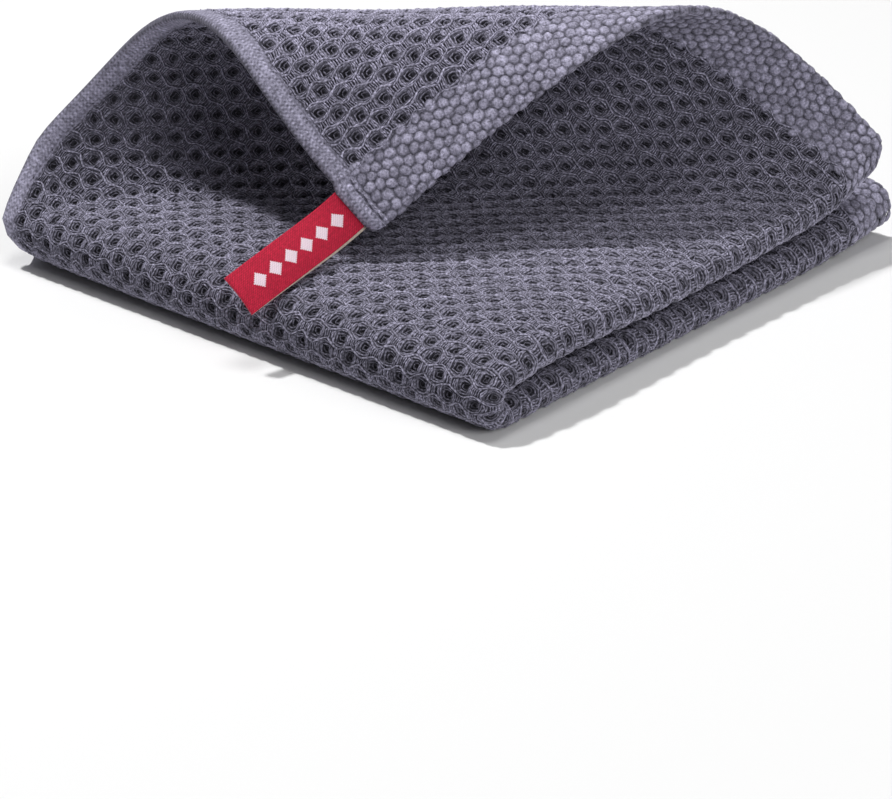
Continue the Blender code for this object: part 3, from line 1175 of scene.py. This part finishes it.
def woven_ribbon():
    """Red twill ribbon with a row of white diamonds, cream on its wrong side and edges."""
    material, tree, shader = new_material("red woven ribbon", roughness=0.75, sheen=0.15,
                                          tint=RIBBON_SHEEN)
    spot = add(tree, "ShaderNodeSeparateXYZ")
    wire(tree, attribute(tree, "ribbon_place").outputs["Vector"], spot.inputs[0])
    down, across = spot.outputs[0], spot.outputs[1]
    stepped = []
    for value in (down, across):
        whole = maths(tree, "ROUND", maths(tree, "DIVIDE", value, DIAMOND_STITCH))
        stepped.append(times(tree, whole, DIAMOND_STITCH))
    shifted = minus(tree, stepped[0], DIAMONDS_FROM)
    number = maths(tree, "ROUND", maths(tree, "DIVIDE", shifted, DIAMOND_APART))
    off = minus(tree, shifted, times(tree, number, DIAMOND_APART))
    reach = plus(tree, maths(tree, "ABSOLUTE", off), maths(tree, "ABSOLUTE", stepped[1]))
    diamond = maths(tree, "LESS_THAN", reach, DIAMOND_HALF)
    diamond = times(tree, diamond, maths(tree, "GREATER_THAN", number, -0.5))
    diamond = times(tree, diamond, maths(tree, "LESS_THAN", number, DIAMONDS - 0.5))
    twill = wave(tree, minus(tree, down, across), TWILL_PITCH)
    warp = wave(tree, across, WARP_PITCH)
    weave = plus(tree, times(tree, twill, TWILL_MIX[0]), times(tree, warp, TWILL_MIX[1]))
    object_place = add(tree, "ShaderNodeTexCoord").outputs["Object"]
    mottle = ramp(tree, noise(tree, object_place, FIBRE_SCALE), *NOISE_RANGE, *RIBBON_SHADES)
    red = tinted(tree, RED, times(tree, ramp(tree, weave, -1, 1, *RED_SHADES), mottle))
    white = tinted(tree, WHITE, ramp(tree, weave, -1, 1, *WHITE_SHADES))
    right_side = mixed(tree, diamond, red, white)
    wrong = attribute(tree, "wrong_side").outputs["Fac"]
    ribbon = mixed(tree, wrong, right_side, tinted(tree, CREAM, mottle))
    wire(tree, ribbon, shader.inputs["Base Color"])
    relief(tree, shader, weave, *RIBBON_RELIEF)
    return material


def paint(piece, material):
    piece.data.materials.clear()
    piece.data.materials.append(material)


# Studio

def make_camera():
    data = bpy.data.cameras.new("camera")
    data.sensor_width = 36
    data.lens = CAMERA_LENS
    data.clip_start = 0.01
    data.clip_end = 20
    camera = bpy.data.objects.new("camera", data)
    camera.location = CAMERA_PLACE
    camera.rotation_euler = (math.pi / 2 - CAMERA_DOWN, 0, 0)
    bpy.context.scene.collection.objects.link(camera)
    bpy.context.scene.camera = camera


def make_studio():
    scene = bpy.context.scene
    scene.view_settings.view_transform = "Standard"
    world = bpy.data.worlds.new("studio")
    world.use_nodes = True
    world.node_tree.nodes["Background"].inputs["Color"].default_value = (1, 1, 1, 1)
    world.node_tree.nodes["Background"].inputs["Strength"].default_value = WORLD_LIGHT
    scene.world = world
    for name, way, distance, size, power in LAMPS:
        data = bpy.data.lights.new(name, "AREA")
        data.shape = "DISK"
        data.size = size
        data.energy = power
        lamp = bpy.data.objects.new(name, data)
        lamp.location = Vector(way).normalized() * distance
        lamp.rotation_euler = Vector(way).to_track_quat("Z", "Y").to_euler()
        scene.collection.objects.link(lamp)
    deselect()
    bpy.ops.mesh.primitive_plane_add(size=FLOOR_SIDE, location=(0, 0, 0))
    floor = bpy.context.object
    floor.name = "floor"
    material = bpy.data.materials.new("pale floor")
    material.use_nodes = True
    shader = material.node_tree.nodes["Principled BSDF"]
    shader.inputs["Base Color"].default_value = (*FLOOR_GREY, 1)
    shader.inputs["Roughness"].default_value = 0.9
    paint(floor, material)


make_camera()
fibres = fibre_group()
waffle = cotton("slate waffle cotton", fibres)
# Painted light: the lifted corner's waffle gets a lighter copy of the waffle cotton
painted_light_waffle = cotton("slate waffle cotton with painted light", fibres)
ground_cotton = cotton("slate ground cotton", fibres, HEM_RIBS)
band_cotton = cotton("slate popcorn cotton", fibres)
# Painted light: the lifted band and stitches get a lighter copy of the popcorn cotton
painted_light_popcorn_cotton = cotton("slate popcorn cotton with painted light", fibres)
cloth = make_ground()
paint(cloth, ground_cotton)

LEFT_X = SECOND_FOLD - SECOND_REACH
RIGHT_X = CLOTH_SIDE - BAND_WIDTH
OVER_Y = FIRST_FOLD + FIRST_REACH
ALL_YARNS = (dividers, mats, rungs, pit_floats)
extra = []
for name, x_range, y_range, side, makers in (
        ("top_warp_yarns", (LEFT_X, RIGHT_X), (HEM_WIDTH, OVER_Y), FACE, (dividers, mats)),
        ("top_weft_yarns", (LEFT_X, RIGHT_X), (HEM_WIDTH, OVER_Y), FACE, (rungs, pit_floats)),
        ("lifted_yarns", (LEFT_X, RIGHT_X), (HEM_WIDTH, FIRST_FOLD), BACK, ALL_YARNS),
        ("second_layer_yarns", (LEFT_X, RIGHT_X), (FIRST_FOLD, CLOTH_SIDE - HEM_WIDTH), BACK,
         ALL_YARNS),
        ("lower_fold_yarns", (BAND_WIDTH, LEFT_X), (LOWER_YARNS_FROM, OVER_Y + BETWEEN_FOLDS),
         FACE, ALL_YARNS)):
    piece = make_yarns(name, x_range, y_range, side, makers)
    # the lifted layer's yarns get the copy with painted light
    paint(piece, painted_light_waffle if name == "lifted_yarns" else waffle)
    extra.append(piece)
for name, edge, y_range, side in (
        ("lifted_band_bumps", CLOTH_SIDE, (BAND_HEM, FIRST_FOLD), BACK),
        ("top_band_bumps", CLOTH_SIDE, (BAND_HEM, OVER_Y), FACE),
        ("second_layer_band_bumps", CLOTH_SIDE, (FIRST_FOLD, CLOTH_SIDE - BAND_HEM), BACK),
        ("lower_band_bumps", 0.0, (BAND_HEM, OVER_Y + BETWEEN_FOLDS), FACE)):
    piece = make_bumps(name, edge, y_range, side)
    # the lifted band's bumps get the copy with painted light
    paint(piece, painted_light_popcorn_cotton if name == "lifted_band_bumps" else band_cotton)
    extra.append(piece)
stitches = make_stitches()
# the stitches at the lifted corner get the copy with painted light
paint(stitches, painted_light_popcorn_cotton)
extra.append(stitches)
for piece in extra:
    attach(piece, "root")
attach(cloth, "root")
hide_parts("towel")
label = make_label()
paint(label, woven_ribbon())
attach(label, "root")
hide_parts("label")
make_studio()
